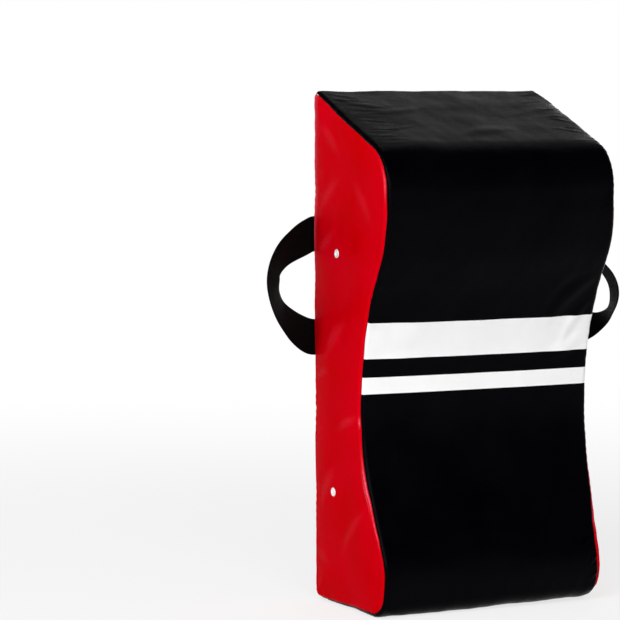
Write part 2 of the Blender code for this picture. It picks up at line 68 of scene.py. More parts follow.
# Depths, shares of the height and rounding of the outline's corners, from the top of the back over the face
DEPTHS = (0.0, UPPER_DEPTH, UPPER_DEPTH, WAIST_DEPTH, WAIST_DEPTH, LOWER_DEPTH, FOOT_DEPTH, 0.0)
HEIGHT_SHARES = (1.0, 0.8755, 0.720, 0.522, 0.3065, 0.0865, 0.0, 0.0)
ROUND_SHARES = (None, 0.44, 0.40, 0.51, 0.39, 0.42, 0.31, None)
TOP_EDGE_RADIUS, HEEL_RADIUS, SMALLEST_RADIUS = 0.003, 0.012, 0.001
FACE_CROWN, FACET_CROWN_SHARE, SIDE_CROWN, SIDE_RISE = 0.003, 0.1, 0.004, 0.032
EDGE_RADIUS, EDGE_TURN, SEAM_TURN = 0.008, math.radians(75.0), math.radians(45.0)
FOOT_ROUND_SHARE, BACK_ROUND_SHARE = 1.0, 0.5
SHEET, GAP, SEAM_GAP = 0.0012, 0.0003, 0.0004
WEBBING_WIDTH, WEBBING_THICKNESS = 0.042, 0.0014
LOOP_HEIGHT, RUN_SPACING, LOOP_REACH, LOOP_LEAN = 0.370, 0.122, 0.0905, math.radians(33.3)
SIDES = {"left": -1, "right": 1}
# Further reach and lift of each hand loop, the sag and the fullness of its upper and lower half, and its twist in
# degrees from top to bottom
LOOPS = {"left": (0.0006, 0.0107, (-0.0026, 0.0071), (1.46, 0.90)),
         "right": (0.0044, -0.0183, (-0.0105, 0.0003), (1.02, 0.66))}
TWISTS = {"left": (0, -1, -12, -13, -9, -17, -20, -11, 0), "right": (0, -47, -76, -73, -75, -82, -64, -24, 0)}
PATCH_WIDTH, PATCH_MARGIN, PATCH_SETBACK = 0.062, 0.014, 0.010
EYELETS = {"upper": (0.065, 0.411), "lower": (0.053, 0.133)}
BACK_Y = FOOT_DEPTH / 2
SIDE_LEAN = math.atan((WIDTH - FOOT_WIDTH) / 2 / HEIGHT)
HINGE_X = WIDTH / 2 - SIDE_CROWN
WEBBING_Y = BACK_Y + GAP + WEBBING_THICKNESS / 2
FACE_EDGES = 6
SPACING = 0.0024
HOLE_RADIUS, HOLE_STEPS = 0.0034, 32
# Heights of the printed white bands round the waist
HOOPS = ((0.292, 0.334), (0.252, 0.270))
# Distance from a seam at which nothing of it is felt
FAR = 1.0
BACKWARD = Vector((0.0, 1.0, 0.0))
RUN_HEIGHTS = {"upper": LOOP_HEIGHT + RUN_SPACING / 2, "lower": LOOP_HEIGHT - RUN_SPACING / 2}
LOOP_TAIL, LOOP_STEPS = 0.046, 120
STITCH_PITCH, STITCH_LENGTH, STITCH_RADIUS, STITCH_SIDES = 0.0042, 0.0030, 0.00032, 6
# Share of the length, size and lift of each ring of a stitch
STITCH_RINGS = ((0.0, 0.25, -0.9), (0.15, 0.85, 0.1), (0.5, 1.0, 0.45), (0.85, 0.85, 0.1), (1.0, 0.25, -0.9))
TAPE_INSET, FLAP_INSET, FLAP_CORNER, SHEET_CORNER = 0.0025, 0.004, 0.012, 0.002


# Shaping functions

def gauss(distance, width):
    return np.exp(-(distance / width) ** 2)


def waves(u, v, seed, wavelength, count=9):
    """Sum of seeded sine waves in all directions, about -1 to 1"""
    draw = random.Random(seed)
    total = np.zeros_like(u)
    for _ in range(count):
        direction = draw.uniform(0, math.pi)
        length = wavelength * draw.uniform(0.7, 1.5)
        phase = draw.uniform(0, 2 * math.pi)
        total += np.sin(2 * math.pi * (u * math.cos(direction) + v * math.sin(direction)) / length + phase)
    return total / math.sqrt(count)


def smoothstep(low, high, value):
    t = np.clip((value - low) / (high - low), 0, 1)
    return t * t * (3 - 2 * t)


def circle(steps):
    turns = [2 * math.pi * step / steps for step in range(steps)]
    return [(math.cos(turn), math.sin(turn)) for turn in turns]


# Outline of the cover

CORNERS = [Vector((depth, share * HEIGHT)) for depth, share in zip(DEPTHS, HEIGHT_SHARES)]
COUNT = len(CORNERS)
RUNS = [CORNERS[(index + 1) % COUNT] - corner for index, corner in enumerate(CORNERS)]
TURNS = [math.atan2(RUNS[index - 1].cross(run), RUNS[index - 1].dot(run)) for index, run in enumerate(RUNS)]


def corner_radius(index):
    if ROUND_SHARES[index] is None:
        return TOP_EDGE_RADIUS if index == 0 else HEEL_RADIUS
    shorter = min(RUNS[index - 1].length, RUNS[index].length)
    return ROUND_SHARES[index] * shorter / math.tan(abs(TURNS[index]) / 2)


RADII = [corner_radius(index) for index in range(COUNT)]
ARC_STEPS = [max(4, math.ceil(abs(turn) * radius / SPACING)) for turn, radius in zip(TURNS, RADII)]


def moved_corners(insets):
    alongs = [run.normalized() for run in RUNS]
    starts = [corner + Vector((along.y, -along.x)) * inset for corner, along, inset in zip(CORNERS, alongs, insets)]
    moved = []
    for index, (start, along) in enumerate(zip(starts, alongs)):
        earlier = alongs[index - 1]
        reach = (start - starts[index - 1]).cross(along) / earlier.cross(along)
        moved.append(starts[index - 1] + earlier * reach)
    return moved


def arcs_of(insets):
    moved = moved_corners(insets)
    arcs = []
    for index, (turn, base_radius, steps) in enumerate(zip(TURNS, RADII, ARC_STEPS)):
        outward = -math.copysign(1.0, turn)
        inset = (insets[index - 1] + insets[index]) / 2
        radius = max(base_radius - outward * inset, SMALLEST_RADIUS)
        arriving = (moved[index] - moved[index - 1]).normalized()
        start = moved[index] - arriving * radius * math.tan(abs(turn) / 2)
        centre = start - Vector((-arriving.y, arriving.x)) * outward * radius
        arcs.append([centre + Matrix.Rotation(turn * step / steps, 2) @ (start - centre) for step in range(steps + 1)])
    return arcs


BASE_ARCS = arcs_of([0.0] * COUNT)
RUN_STEPS = [max(1, math.ceil((BASE_ARCS[(index + 1) % COUNT][0] - arc[-1]).length / SPACING))
             for index, arc in enumerate(BASE_ARCS)]


def path_of(insets):
    """Evenly stepped points round the outline, from the top of the back over the face to the heel and back up"""
    arcs = arcs_of(insets)
    points = []
    for index, (arc, steps) in enumerate(zip(arcs, RUN_STEPS)):
        points += arc + [arc[-1].lerp(arcs[(index + 1) % COUNT][0], step / steps) for step in range(1, steps)]
    return points


def insets_at(crown, rounding, side):
    facet = FACET_CROWN_SHARE * crown + rounding + side
    face = crown + rounding + side
    foot = FOOT_ROUND_SHARE * rounding + side
    back = BACK_ROUND_SHARE * rounding + side
    return [facet] + [face] * (FACE_EDGES - 1) + [foot, back]


# Surface of the cover: rows across it by arc length from the middle of the face to the flat of the side,
# columns along the outline

EDGE_CENTRE = WIDTH / 2 - SIDE_CROWN - EDGE_RADIUS * math.sin(EDGE_TURN)
EDGE_END = EDGE_CENTRE + EDGE_RADIUS * EDGE_TURN
SIDE_END = EDGE_END + SIDE_RISE
SEAM = EDGE_CENTRE + EDGE_RADIUS * SEAM_TURN


def cross_section():
    """Arc length, x, crown, rounding and side inset from the middle to the flat of the side"""
    rows = [(EDGE_CENTRE * share, EDGE_CENTRE * share, FACE_CROWN * share ** 3, 0.0, 0.0)
            for share in np.linspace(0, 1, 9)[:-1]]
    for turn in np.linspace(0, EDGE_TURN, 15):
        rows.append((EDGE_CENTRE + EDGE_RADIUS * turn, EDGE_CENTRE + EDGE_RADIUS * math.sin(turn), FACE_CROWN,
                     EDGE_RADIUS * (1 - math.cos(turn)), 0.0))
    for share in np.linspace(0, 1, 11)[1:]:
        rows.append((EDGE_END + SIDE_RISE * share, WIDTH / 2 - SIDE_CROWN * (1 - share) ** 2, FACE_CROWN,
                     EDGE_RADIUS * (1 - math.cos(EDGE_TURN)), SIDE_RISE * share))
    return rows


SECTION = cross_section()
SECTION_ARCS = np.array([row[0] for row in SECTION])
SURFACE = np.array([[(x, *point) for point in path_of(insets_at(*insets))] for _arc, x, *insets in SECTION])
BASE_PATH = np.array(path_of([0.0] * COUNT))
# The front panel ends at the heel, before the back's own run
OPEN_COUNT = len(BASE_PATH) - RUN_STEPS[-1] + 1
PATH_LENGTHS = np.concatenate([[0.0], np.cumsum(np.hypot(*np.diff(BASE_PATH, axis=0).T))])


def on_surface(arcs):
    """x, depth and height at a grid of arc lengths, rows across and columns along the outline"""
    low = np.clip(np.searchsorted(SECTION_ARCS, arcs, side="right") - 1, 0, len(SECTION_ARCS) - 2)
    share = (arcs - SECTION_ARCS[low]) / (SECTION_ARCS[low + 1] - SECTION_ARCS[low])
    columns = np.arange(arcs.shape[1])[None, :]
    return SURFACE[low, columns] * (1 - share[:, :, None]) + SURFACE[low + 1, columns] * share[:, :, None]


WAIST_HEIGHT, RIGHT_BULGE_HEIGHT = 0.290, 0.058


def seam_arcs(side):
    """Arc length of the seam between face and side, for each column; it wanders as sewn seams do"""
    depth, height = BASE_PATH.T
    arcs = SEAM + 0.0004 * waves(PATH_LENGTHS, PATH_LENGTHS * 0, 25 + side, 0.05, 5)
    on_foot = (1 - smoothstep(0.0, 0.020, height)) * smoothstep(0.020, 0.150, depth)
    in_front = smoothstep(0.010, 0.050, depth)
    if side < 0:
        arcs += 0.0020 * on_foot
        arcs += in_front * (0.0014 * smoothstep(0.515, 0.540, height) - 0.0020 * gauss(height - WAIST_HEIGHT, 0.050))
    else:
        arcs += in_front * (0.0026 * smoothstep(0.14, 0.22, height)
                            - 0.0050 * gauss(height - RIGHT_BULGE_HEIGHT, 0.045))
    return arcs


SLACK_HEIGHTS = (0.0, 0.030, 0.062, 0.095, 0.130, 0.150, 0.177, 0.230, 0.290, 0.360, 0.425, 0.470, 0.530)
RIGHT_SLACK = (-0.0048, -0.0042, -0.0050, -0.0034, 0.0020, 0.0042, 0.0054, 0.0058, 0.0056, 0.0040, 0.0020, 0.0005, 0.0)
LEFT_FLARE, TOP_CORNER_PULL, TOE_LIFT, TOE_BOW, TOE_CORNER = 0.0035, 0.0014, 0.0024, 0.0016, 0.0085


def slack(side, x, depth, height):
    """How far the cover and the foam under it stand wider and higher than the even block"""
    front_edge = smoothstep(0.060, 0.145, x) * smoothstep(0.074, 0.106, depth)
    foot = 1 - smoothstep(0.0, 0.040, height)
    if side < 0:
        wider = front_edge * LEFT_FLARE * (1 - smoothstep(0.0, 0.024, height)) * smoothstep(0.06, 0.15, depth)
        back_edge = smoothstep(0.10, 0.15, x) * (1 - smoothstep(0.03, 0.09, depth))
        wider -= TOP_CORNER_PULL * back_edge * smoothstep(0.42, 0.50, height)
        return wider, TOE_BOW * gauss(x + 0.025, 0.045) * smoothstep(0.110, 0.158, depth) * foot
    toe = smoothstep(0.110, 0.158, depth) * foot
    corner = np.clip((x - 0.132) / 0.026, 0, 1) ** 2 * toe
    wider = front_edge * np.interp(height, SLACK_HEIGHTS, RIGHT_SLACK) - 0.3 * TOE_CORNER * corner * foot
    wider -= 3.2 * TOP_CORNER_PULL * smoothstep(0.10, 0.155, x) * (1 - smoothstep(0.0, 0.030, depth)) \
        * smoothstep(0.570, 0.597, height)
    higher = (TOE_LIFT * smoothstep(0.0, 0.110, x) + TOE_BOW * gauss(x - 0.025, 0.045)) * toe \
        + TOE_CORNER * corner * foot
    return wider, higher


def world(side, local):
    """World points of x, depth and height: the block narrows to its foot, and its cover isn't quite even"""
    x, depth, height = np.moveaxis(np.asarray(local, float), -1, 0)
    wider, higher = slack(side, x, depth, height)
    wide = x * (FOOT_WIDTH + (WIDTH - FOOT_WIDTH) * height / HEIGHT) / WIDTH + wider
    return np.stack([side * wide, BACK_Y - depth, height + higher], axis=-1)


# Displacement of the cover

def crease(u, v, start, end, width, height, bow):
    """Soft ridge along a bowed line, tapered at both ends; the line and its sizes are in millimetres"""
    start, end, width, height, bow = (np.array(size) / 1000 for size in (start, end, width, height, bow))
    length = np.hypot(*(end - start))
    along = (end - start) / length
    du, dv = u - start[0], v - start[1]
    share = np.clip((du * along[0] + dv * along[1]) / length, 0, 1)
    taper = np.sin(np.pi * share) ** 1.2
    off = -du * along[1] + dv * along[0] - bow * np.sin(np.pi * share)
    width = width * (0.55 + 0.45 * taper)
    return height * taper * (gauss(off, width) - 0.45 * gauss(np.abs(off) - 1.6 * width, 0.8 * width))


def puckers(distance, along, seed, reach, pitch=0.011):
    """Small folds across a seam that die out away from it"""
    strength = 0.5 + 0.5 * waves(along, along * 0, seed, 0.09)
    folds = waves(along + distance * 0.35, along * 0, seed + 1, pitch, 5)
    return np.clip(strength, 0, 1.4) * folds * gauss(distance, reach)


def seam_relief(distance, ridge):
    """The seam's valley and the ridge of the allowance turned inside"""
    return -0.0007 * gauss(distance, 0.0011) + ridge * gauss(distance - 0.0042, 0.0016)


# Creases in millimetres: start, end, width, height and bow
FACE_CREASES = (
    ((-150, 20), (-85, 60), 5, 0.5, 4), ((-148, 75), (-30, 55), 6, 0.4, 6), ((-120, 122), (-88, 112), 1.8, 0.6, 1),
    ((-125, 130), (-70, 108), 3, 0.4, -2), ((-40, 140), (60, 120), 8, 0.4, -4), ((145, 60), (60, 85), 7, 0.3, 3),
    ((150, 105), (112, 90), 2.8, 0.5, 2), ((150, 135), (100, 120), 3.5, 0.4, 2), ((148, 330), (85, 400), 9, 1.3, 8),
    ((148, 360), (110, 430), 6, 1.2, 5), ((150, 405), (75, 445), 8, 1, -5), ((-147, 350), (-80, 385), 9, 0.7, 4),
    ((-145, 440), (-70, 430), 8, 0.7, -3), ((152, 674), (136, 690), 2, 2.2, 2), ((152, 696), (137, 709), 2, 2, 2),
    ((150, 650), (120, 672), 3, 0.5, 2), ((-146, 715), (-110, 740), 5, 0.8, 3), ((-60, 600), (70, 610), 12, 0.5, 4),
    ((-80, 665), (50, 672), 11, 0.5, -4),
)


def fan_creases(side, count, seed):
    """Fine wrinkles of the top facet, which start at a side seam and run in from it"""
    draw = random.Random(seed)
    creases = []
    for number in range(count):
        v = 8 + 150 * (number + draw.uniform(0, 1)) / count
        length, slope = draw.uniform(25, 60), draw.uniform(0.10, 0.50) * (1 - v / 160)
        x = side * draw.uniform(142, 152)
        sizes = draw.uniform(1.6, 2.8), draw.uniform(0.3, 0.6), draw.uniform(-2, 2)
        creases.append(((x, v), (x - side * length, v + slope * length), *sizes))
    return creases


FACE_CREASES += *fan_creases(-1, 15, 81), *fan_creases(1, 6, 82)


def face_relief(u, v, seam_distance, end_distance):
    relief = 0.00035 * waves(u, v, 11, 0.075) + 0.00012 * waves(u, v, 12, 0.028)
    for fold in FACE_CREASES:
        relief += crease(u, v, *fold)
    on_facet = 1 - smoothstep(0.150, 0.200, v)
    relief += on_facet * (0.0014 * (1 - gauss(seam_distance, 0.016)) - 0.0002) * smoothstep(0.0, 0.060, v)
    relief += (0.00028 + 0.00030 * on_facet) * puckers(seam_distance, v, 21, 0.010)
    relief += seam_relief(seam_distance, 0.00010)
    relief += -0.0006 * gauss(end_distance, 0.0011)
    return relief


SIDE_CREASES = (
    ((20, 455), (75, 500), 8, 0.9, 3), ((10, 410), (60, 440), 7, 0.8, -3), ((30, 285), (85, 335), 9, 0.8, 4),
    ((8, 262), (50, 275), 5, 1, 2), ((60, 205), (108, 225), 6, 0.9, 2), ((20, 110), (60, 165), 8, 0.9, 3),
    ((70, 60), (125, 120), 7, 0.8, 3), ((6, 60), (45, 45), 6, 0.9, 2), ((20, 560), (75, 520), 8, 0.7, 3),
    ((100, 500), (150, 440), 8, 0.6, 3),
)


def side_folds(depth, height):
    return sum(crease(depth, height, *fold) for fold in SIDE_CREASES)


SIDE_SEAM_RIDGE = 0.00065


def side_relief(depth, height, seam_distance, along, seed):
    relief = 0.00045 * waves(depth, height, seed, 0.085) + 0.00012 * waves(depth, height, seed + 1, 0.03)
    relief += side_folds(depth, height)
    relief += 0.00035 * puckers(seam_distance, along, 21, 0.010)
    relief += seam_relief(seam_distance, SIDE_SEAM_RIDGE)
    return relief


# Stretches of the side's seam given a painted pale highlight line: height, its spread, distance from the seam, width
# and strength
PAINTED_SEAM_HIGHLIGHTS = ((0.146, 0.024, 0.0017, 0.0007, 1.0), (0.140, 0.016, 0.0042, 0.0007, 0.5),
                (0.100, 0.014, 0.0017, 0.0006, 0.6), (0.219, 0.004, 0.0020, 0.0008, 0.8),
                (0.495, 0.013, 0.0018, 0.0007, 0.5))


def side_painted_highlights(depth, height, seam_distance):
    """Painted highlights on the red coating: pale lines on ridges by the seam, a band along the back edge and streaks
    on fold ridges
    """
    in_front = smoothstep(0.060, 0.090, depth)
    worn = sum(share * gauss(seam_distance - place, width) * gauss(height - middle, spread)
               for middle, spread, place, width, share in PAINTED_SEAM_HIGHLIGHTS) * in_front
    worn += 0.50 * gauss(depth, 0.0070) * smoothstep(0.34, 0.46, height)
    worn += 0.06 * np.clip(side_folds(depth, height) / 0.0009, 0, 1)
    return np.clip(worn, 0, 1)


# Meshes

def linked_object(name, data):
    item = bpy.data.objects.new(name, data)
    bpy.context.scene.collection.objects.link(item)
    return item


def new_object(name, vertices, faces, materials, body, slot, **attributes):
    """A smooth mesh; each attribute has a number or a vector for every vertex"""
    mesh = bpy.data.meshes.new(name)
    mesh.from_pydata([tuple(v) for v in vertices], [], [tuple(f) for f in faces])
    mesh.validate()
    for key, values in attributes.items():
        values = np.asarray(values, np.float32)
        kind, field = ("FLOAT", "value") if values.ndim == 1 else ("FLOAT_VECTOR", "vector")
        mesh.attributes.new(key, kind, "POINT").data.foreach_set(field, values.ravel())
    item = linked_object(name, mesh)
    for material in materials:
        mesh.materials.append(material)
    mesh.shade_smooth()
    if body:
        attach(item, body)
    return item


def add_thickness(item, thickness):
    modifier = item.modifiers.new("Sheet", "SOLIDIFY")
    modifier.thickness, modifier.offset = thickness, -1.0


def grid_normals(points):
    """Unit normals of a grid of points, rows by columns"""
    rows = np.gradient(points, axis=0)
    columns = np.gradient(points, axis=1)
    normals = np.cross(rows, columns)
    return normals / np.maximum(np.linalg.norm(normals, axis=2, keepdims=True), 1e-12)


def grid_faces(rows, columns):
    index = np.arange(rows * columns).reshape(rows, columns)
    return np.stack([index[:-1, :-1], index[1:, :-1], index[1:, 1:], index[:-1, 1:]], axis=2).reshape(-1, 4)


def ring_faces(rings, count, first=0):
    """Quads between closed rings of points"""
    index = np.arange(rings * count).reshape(rings, count) + first
    other = np.roll(index, -1, axis=1)
    return np.stack([index[:-1], other[:-1], other[1:], index[1:]], axis=2).reshape(-1, 4).tolist()


def recalculate_facing(item):
    bm = bmesh.new()
    bm.from_mesh(item.data)
    bmesh.ops.recalc_face_normals(bm, faces=bm.faces)
    bm.to_mesh(item.data)
    bm.free()


def face_outward(item, outward):
    """Turn the faces so that most of those that face the given way are seen from there"""
    recalculate_facing(item)
    score = sum(face.normal.dot(outward) * face.area for face in item.data.polygons
                if abs(face.normal.dot(outward)) > 0.5)
    if score < 0:
        item.data.flip_normals()


def sheet_object(name, grid, u, v, materials, body, slot, outward):
    """A grid of points as one face of a sheet, which looks outward"""
    flat = np.stack([u, v, np.zeros_like(u)], axis=2).reshape(-1, 3)
    item = new_object(name, grid.reshape(-1, 3), grid_faces(*u.shape), materials, body, slot, flat=flat)
    face_outward(item, outward)
    return item


def padded_sheet(item, node):
    add_thickness(item, SHEET)
    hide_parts(node)


HALF_SHARES = np.concatenate([np.linspace(0, 0.952, 54),
                              (0.9595, 0.967, 0.974, 0.980, 0.9855, 0.990, 0.994, 0.9975, 1.0)])


def across_both(seams, local_at):
    """Points, x and distance to the seam, row by row from the left seam to the right one"""
    halves = []
    for side, shares in ((-1, HALF_SHARES[:0:-1]), (1, HALF_SHARES)):
        reach = seams[side] - SEAM_GAP / 2
        local = local_at(shares[:, None] * reach)
        halves.append((world(side, local), side * local[:, :, 0], (1 - shares)[:, None] * reach))
    return [np.concatenate(parts) for parts in zip(*halves)]


def front_cover():
    seams = {side: seam_arcs(side)[:OPEN_COUNT] for side in (-1, 1)}
    grid, u, seam_distance = across_both(seams, on_surface)
    v = np.repeat(PATH_LENGTHS[None, :OPEN_COUNT], len(grid), axis=0)
    normals = grid_normals(grid)
    if normals[len(grid) // 2, OPEN_COUNT // 2, 1] > 0:
        normals = -normals
    relief = face_relief(u, v, seam_distance, np.minimum(v, v[0, -1] - v))
    grid = grid + normals * relief[:, :, None]
    grid[:, :, 2] = np.maximum(grid[:, :, 2], 0.0)
    item = sheet_object("cover_front", grid, u, v, [BLACK, INK], "root", "black_sheet", -BACKWARD)
    depths, heights = BASE_PATH[:OPEN_COUNT].T
    middle = (heights[:-1] + heights[1:]) / 2
    in_hoop = np.any([(middle > low) & (middle < high) for low, high in HOOPS], axis=0)
    in_hoop &= np.arange(OPEN_COUNT - 1) > np.argmax(depths > 0.02)
    item.data.polygons.foreach_set("material_index", np.tile(in_hoop.astype(np.int32), len(grid) - 1))
    padded_sheet(item, "front_panel")


SIDE_SHARES = np.array((0.0, 0.010, 0.022, 0.036, 0.052, 0.070, 0.090, 0.115, 0.145, 0.18, 0.22, 0.27, 0.33, 0.40,
                        0.48, 0.57, 0.67, 0.78, 0.89, 1.0))


def side_cover(side_name):
    """Rings from the seam to the flat of the side, and an even mesh inside them with the eyelets' holes"""
    side = SIDES[side_name]
    start = seam_arcs(side) + SEAM_GAP / 2
    distance = SIDE_SHARES[:, None] * (SIDE_END - start)
    rings, count = distance.shape
    vertices = on_surface(start + distance).reshape(-1, 3).tolist()
    inner_start = len(vertices) - count
    distances, alongs = distance.ravel().tolist(), list(np.tile(PATH_LENGTHS, rings))
    boundary = [Vector(place[1:]) for place in vertices[inner_start:]]
    holes = [Vector(place) for place in EYELETS.values()]
    inside = interior_points(boundary, holes)
    loop = [(index, (index + 1) % count) for index in range(count)]
    rims = []
    for hole in holes:
        first = count + len(inside) + len(rims)
        loop += [(first + step, first + (step + 1) % HOLE_STEPS) for step in range(HOLE_STEPS)]
        rims += [hole + Vector(spoke) * HOLE_RADIUS for spoke in circle(HOLE_STEPS)]
    found, _, triangles, origins, _, _ = delaunay_2d_cdt(boundary + inside + rims, loop, [], 1, 1e-7)
    numbers = []
    for point, origin in zip(found, origins):
        if origin and origin[0] < count:
            numbers.append(inner_start + origin[0])
            continue
        numbers.append(len(vertices))
        vertices.append((WIDTH / 2, point.x, point.y))
        distances.append(FAR)
        alongs.append(0.0)
    faces = ring_faces(rings, count)
    for triangle in triangles:
        middle = sum((found[i] for i in triangle), Vector((0, 0))) / 3
        if min((middle - hole).length for hole in holes) > HOLE_RADIUS * 0.97:
            faces.append([numbers[i] for i in triangle])
    local = np.array(vertices)
    _, depth, height = local.T
    distances = np.array(distances)
    flat = np.stack([depth, height, np.zeros(len(local))], axis=1)
    relief = side_relief(depth, height, distances, np.array(alongs), 31 if side < 0 else 41)
    points = world(side, local)
    # The mesh carries the painted highlights of the seam ridges, back edge and folds
    item = new_object("cover_side_" + side_name, points, faces, [RED], "root", "red_sheet", flat=flat,
                      worn=side_painted_highlights(depth, height, distances))
    face_outward(item, Vector((side, 0.0, 0.0)))
    normals = np.zeros(points.size, np.float32)
    item.data.vertex_normals.foreach_get("vector", normals)
    points = points + normals.reshape(-1, 3) * relief[:, None]
    points[:, 2] = np.maximum(points[:, 2], 0.0)
    item.data.vertices.foreach_set("co", points.astype(np.float32).ravel())
    item.data.update()
    padded_sheet(item, "side_panel_" + side_name)


def interior_points(boundary, holes, step=0.0055, clearance=0.0026):
    """Even rows of points inside the boundary, clear of it and of the holes"""
    edge = np.array(boundary)
    x0, y0 = edge.T
    points = []
    for row, y in enumerate(np.arange(y0.min() + step, y0.max(), step * math.sqrt(3) / 2)):
        cut = np.flatnonzero((y0 > y) != (np.roll(y0, -1) > y))
        (xa, ya), (xb, yb) = edge[cut].T, np.roll(edge, -1, axis=0)[cut].T
        crossings = (xb - xa) * (y - ya) / (yb - ya) + xa
        for x in np.arange(x0.min() + (step / 2 if row % 2 else 0.0), x0.max(), step):
            clear = min((Vector((x, y)) - hole).length for hole in holes) > HOLE_RADIUS + clearance / 2
            far = np.hypot(x0 - x, y0 - y).min() > clearance
            if clear and far and (crossings > x).sum() % 2:
                points.append(Vector((x, y)))
    return points


def back_cover(name, node, seed):
    (_, _, low), (_, _, high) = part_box(node)
    heights = np.linspace(low, high, math.ceil((high - low) / 0.005) + 1)
    seams = {side: np.interp(heights, BASE_PATH[OPEN_COUNT:, 1], seam_arcs(side)[OPEN_COUNT:]) for side in (-1, 1)}

    def local_at(arcs):
        x, rounding = (np.interp(arcs, SECTION_ARCS, [row[place] for row in SECTION]) for place in (1, 3))
        return np.stack([x, BACK_ROUND_SHARE * rounding, np.broadcast_to(heights, x.shape)], axis=2)

    grid, u, seam_distance = across_both(seams, local_at)
    v = np.repeat(heights[None, :], len(grid), axis=0)
    relief = np.minimum(0.00025 * waves(u, v, seed, 0.08), 0.0)
    relief += 0.00012 * (puckers(seam_distance, v, seed + 1, 0.008) - 0.6 * gauss(seam_distance, 0.008))
    relief += -0.0007 * gauss(seam_distance, 0.0011)
    relief += -0.0006 * gauss(np.minimum(v - low, high - v), 0.0010)
    grid[:, :, 1] += relief
    padded_sheet(sheet_object(name, grid, u, v, [BACK_BLACK], "root", "black_sheet", BACKWARD), node)


# Webbing and patches

def strip(name, centres, across, thickness_way, body):
    """Webbing with rounded selvedges along a line of centres"""
    half = WEBBING_THICKNESS / 2
    reach = WEBBING_WIDTH / 2 - half
    section = [(share * reach, half) for share in np.linspace(-1, 1, 11)]
    for turn in (math.pi / 4, math.pi / 2, math.pi * 3 / 4):
        section.append((reach + half * math.sin(turn), half * math.cos(turn)))
    section += [(-wide, -thick) for wide, thick in section]
    vertices, flats, length = [], [], 0.0
    for index, (centre, wide, thick) in enumerate(zip(centres, across, thickness_way)):
        length += (centre - centres[max(index - 1, 0)]).length
        vertices += [centre + wide * w + thick * t for w, t in section]
        flats += [(w, length, t) for w, t in section]
    count = len(section)
    faces = ring_faces(len(centres), count)
    faces += [range(count), reversed(range(len(vertices) - count, len(vertices)))]
    item = new_object(name, vertices, faces, [WEBBING], body, "webbing", flat=flats)
    recalculate_facing(item)
    return item


def loop_point(turn, side_name):
    further, lift, sags, powers = LOOPS[side_name]
    half = 0 if turn > 0 else 1
    bulge = max(math.cos(turn), 0.0)
    height = LOOP_HEIGHT + RUN_SPACING / 2 * math.sin(turn) + lift * bulge ** 2
    height += sags[half] * 4 * bulge * (1 - bulge)
    return Vector(((LOOP_REACH + further) * bulge ** powers[half], height))


def hand_loop(side_name):
    side = SIDES[side_name]
    outward = Vector((side * math.cos(LOOP_LEAN), -math.sin(LOOP_LEAN), 0.0))
    across = Vector((side * math.sin(LOOP_LEAN), math.cos(LOOP_LEAN), 0.0))
    upward = Vector((0.0, 0.0, 1.0))
    hinge = Vector((side * HINGE_X, WEBBING_Y, 0.0))
    tails = [[Vector((side * x, WEBBING_Y, height)) for x in np.linspace(HINGE_X - LOOP_TAIL, HINGE_X, 13)[:-1]]
             for height in RUN_HEIGHTS.values()]
    centres, widths = tails[0], [upward] * len(tails[0])
    twists = TWISTS[side_name]
    for step in range(LOOP_STEPS + 1):
        turn = math.pi / 2 - math.pi * step / LOOP_STEPS
        ahead = (loop_point(turn - 0.01, side_name) - loop_point(turn + 0.01, side_name)).normalized()
        if step in (0, LOOP_STEPS):
            ahead = Vector((1.0 if step == 0 else -1.0, 0.0))
        in_plane = outward * -ahead.y + upward * ahead.x
        twist = math.radians(np.interp(step / LOOP_STEPS, np.linspace(0, 1, len(twists)), twists))
        point = loop_point(turn, side_name)
        centres.append(hinge + outward * point.x + upward * point.y)
        widths.append(in_plane * math.cos(twist) + across * math.sin(twist))
    centres += reversed(tails[1])
    widths += [-upward] * len(tails[1])
    for _ in range(12):
        smoothed = [a.lerp((b + c) / 2, 0.5) for a, b, c in zip(centres[1:], centres, centres[2:])]
        centres = [centres[0]] + smoothed + [centres[-1]]
        smoothed = [(a + b + c).normalized() for a, b, c in zip(widths, widths[1:], widths[2:])]
        widths = [widths[0]] + smoothed + [widths[-1]]
    aheads = [b - a for a, b in zip(centres[:1] + centres, centres[1:] + centres[-1:])]
    thick = [ahead.normalized().cross(wide).normalized() for ahead, wide in zip(aheads, widths)]
    item = strip("hand_loop_" + side_name, centres, widths, thick, None)
    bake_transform(item)
    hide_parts("strap_loop_" + side_name)


def back_run(level):
    half = HINGE_X - PATCH_SETBACK - 0.012
    centres = [Vector((x, WEBBING_Y, RUN_HEIGHTS[level])) for x in np.linspace(-half, half, 61)]
    across, thickness_way = ([Vector(way)] * len(centres) for way in ((0, 0, 1), (0, 1, 0)))
    item = strip("back_webbing_" + level, centres, across, thickness_way, "root")
    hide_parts("strap_run_" + level)


def add_stitch(vertices, faces, ends):
    along = (ends[1] - ends[0]).normalized()
    across = along.cross(BACKWARD).normalized()
    first = len(vertices)
    for share, size, lift in STITCH_RINGS:
        centre = ends[0].lerp(ends[1], share) + BACKWARD * lift * STITCH_RADIUS
        vertices += [centre + (across * cosine + BACKWARD * sine) * STITCH_RADIUS * size
                     for cosine, sine in circle(STITCH_SIDES)]
    faces += ring_faces(len(STITCH_RINGS), STITCH_SIDES, first)
    faces += [range(first + STITCH_SIDES - 1, first - 1, -1), range(len(vertices) - STITCH_SIDES, len(vertices))]


